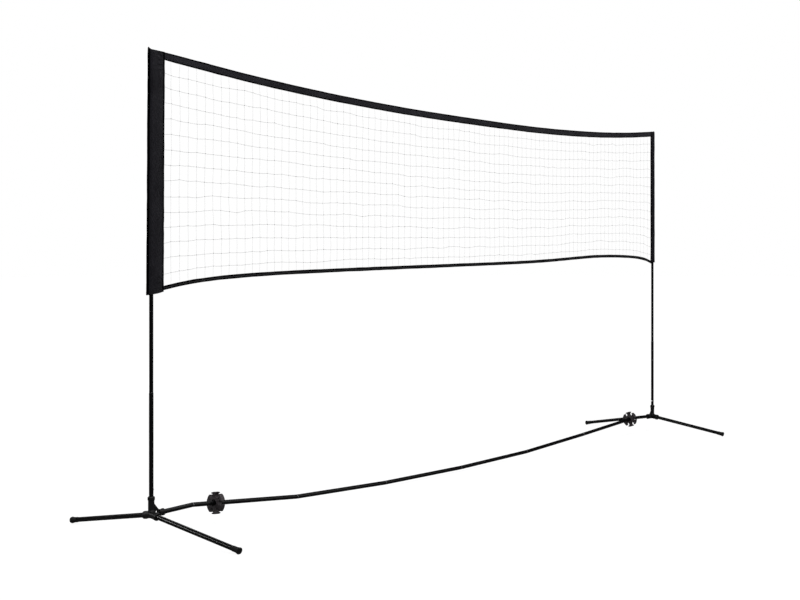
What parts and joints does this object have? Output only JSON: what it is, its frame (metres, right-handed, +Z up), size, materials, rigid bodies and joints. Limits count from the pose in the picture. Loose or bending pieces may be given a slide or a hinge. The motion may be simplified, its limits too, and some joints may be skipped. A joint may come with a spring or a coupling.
{
  "type": "portable badminton net",
  "caption": "Free-standing badminton net: plug-together posts and base rod on four sloping feet, a tape-edged string net on post sleeves, tube clips and snap buttons.",
  "frame": {"origin": "on the floor, midway between the two posts", "axes": "+X along the net from the left post to the right post, +Z up, +Y across the net"},
  "size_m": [3.0756, 0.835, 1.551],
  "materials": {
    "black_tube": "gloss",
    "hub_plastic": "satin moulded",
    "clip_plastic": "satin moulded",
    "cap_rubber": "matte",
    "zinc_steel": "zinc plated",
    "bright_steel": "polished",
    "sleeve_fabric": "woven",
    "tape_fabric": "woven tape",
    "binding_fabric": "narrow woven tape",
    "net_string": "twisted cord"
  },
  "bodies": {
    "base": {"left_hub": "hub_plastic", "right_hub": "hub_plastic", "rod_stub_left": "black_tube", "rod_section_1": "black_tube", "rod_section_2": "black_tube", "rod_section_3": "black_tube", "rod_section_4": "black_tube", "rod_section_5": "black_tube", "rod_section_6": "black_tube", "rod_stub_right": "black_tube", "rod_joiners": "black_tube"},
    "left_post": {"left_post_insert": "zinc_steel", "left_post_tube_1": "black_tube", "left_post_tube_2": "black_tube", "left_post_tube_3": "black_tube", "left_post_tube_4": "black_tube", "left_post_joiners": "zinc_steel", "left_post_cap": "hub_plastic", "left_button_spring": "bright_steel"},
    "right_post": {"right_post_insert": "zinc_steel", "right_post_tube_1": "black_tube", "right_post_tube_2": "black_tube", "right_post_tube_3": "black_tube", "right_post_tube_4": "black_tube", "right_post_joiners": "zinc_steel", "right_post_cap": "hub_plastic", "right_button_spring": "bright_steel"},
    "left_snap_button": {"left_button": "bright_steel"},
    "right_snap_button": {"right_button": "bright_steel"},
    "foot_left_front": {"left_front_foot": "black_tube", "left_front_cap": "cap_rubber"},
    "foot_left_back": {"left_back_foot": "black_tube", "left_back_cap": "cap_rubber"},
    "foot_right_front": {"right_front_foot": "black_tube", "right_front_cap": "cap_rubber"},
    "foot_right_back": {"right_back_foot": "black_tube", "right_back_cap": "cap_rubber"},
    "left_clip": {"left_star_clip": "clip_plastic"},
    "right_clip": {"right_star_clip": "clip_plastic"},
    "net": {"left_sleeve": "sleeve_fabric", "right_sleeve": "sleeve_fabric", "top_tape": "tape_fabric", "bottom_binding": "binding_fabric", "string_panel": "net_string"}
  },
  "joints": [
    {"name": "left_post_lift", "type": "slide", "parent": "base", "child": "left_post", "axis": [0, 0, 1], "range_m": [0, 0.042]},
    {"name": "right_post_lift", "type": "slide", "parent": "base", "child": "right_post", "axis": [0, 0, 1], "range_m": [0, 0.042]},
    {"name": "net_lift", "type": "slide", "parent": "left_post", "child": "net", "axis": [0, 0, 1], "range_m": [0, 0.78]},
    {"name": "left_button_press", "type": "slide", "parent": "left_post", "child": "left_snap_button", "axis": [-1, 0, 0], "range_m": [0, 0.0024], "stiffness_N_per_m": 400, "springref_m": -0.004},
    {"name": "right_button_press", "type": "slide", "parent": "right_post", "child": "right_snap_button", "axis": [1, 0, 0], "range_m": [0, 0.0024], "stiffness_N_per_m": 400, "springref_m": -0.004},
    {"name": "left_front_foot_pull", "type": "slide", "parent": "base", "child": "foot_left_front", "axis": [0, -0.9884, -0.1521], "range_m": [0, 0.023]},
    {"name": "left_back_foot_pull", "type": "slide", "parent": "base", "child": "foot_left_back", "axis": [0, 0.9884, -0.1521], "range_m": [0, 0.023]},
    {"name": "right_front_foot_pull", "type": "slide", "parent": "base", "child": "foot_right_front", "axis": [0, -0.9884, -0.1521], "range_m": [0, 0.023]},
    {"name": "right_back_foot_pull", "type": "slide", "parent": "base", "child": "foot_right_back", "axis": [0, 0.9884, -0.1521], "range_m": [0, 0.023]},
    {"name": "left_clip_turn", "type": "hinge", "parent": "base", "child": "left_clip", "pos_m": [-1.272, 0, 0.07035], "axis": [0.9953, 0, -0.0969], "continuous": true},
    {"name": "right_clip_turn", "type": "hinge", "parent": "base", "child": "right_clip", "pos_m": [1.307, 0, 0.08035], "axis": [0.9976, 0, 0.0695], "continuous": true}
  ],
  "couplings": [
    {"joint": "right_post_lift", "follows": "left_post_lift", "ratio": 1}
  ]
}
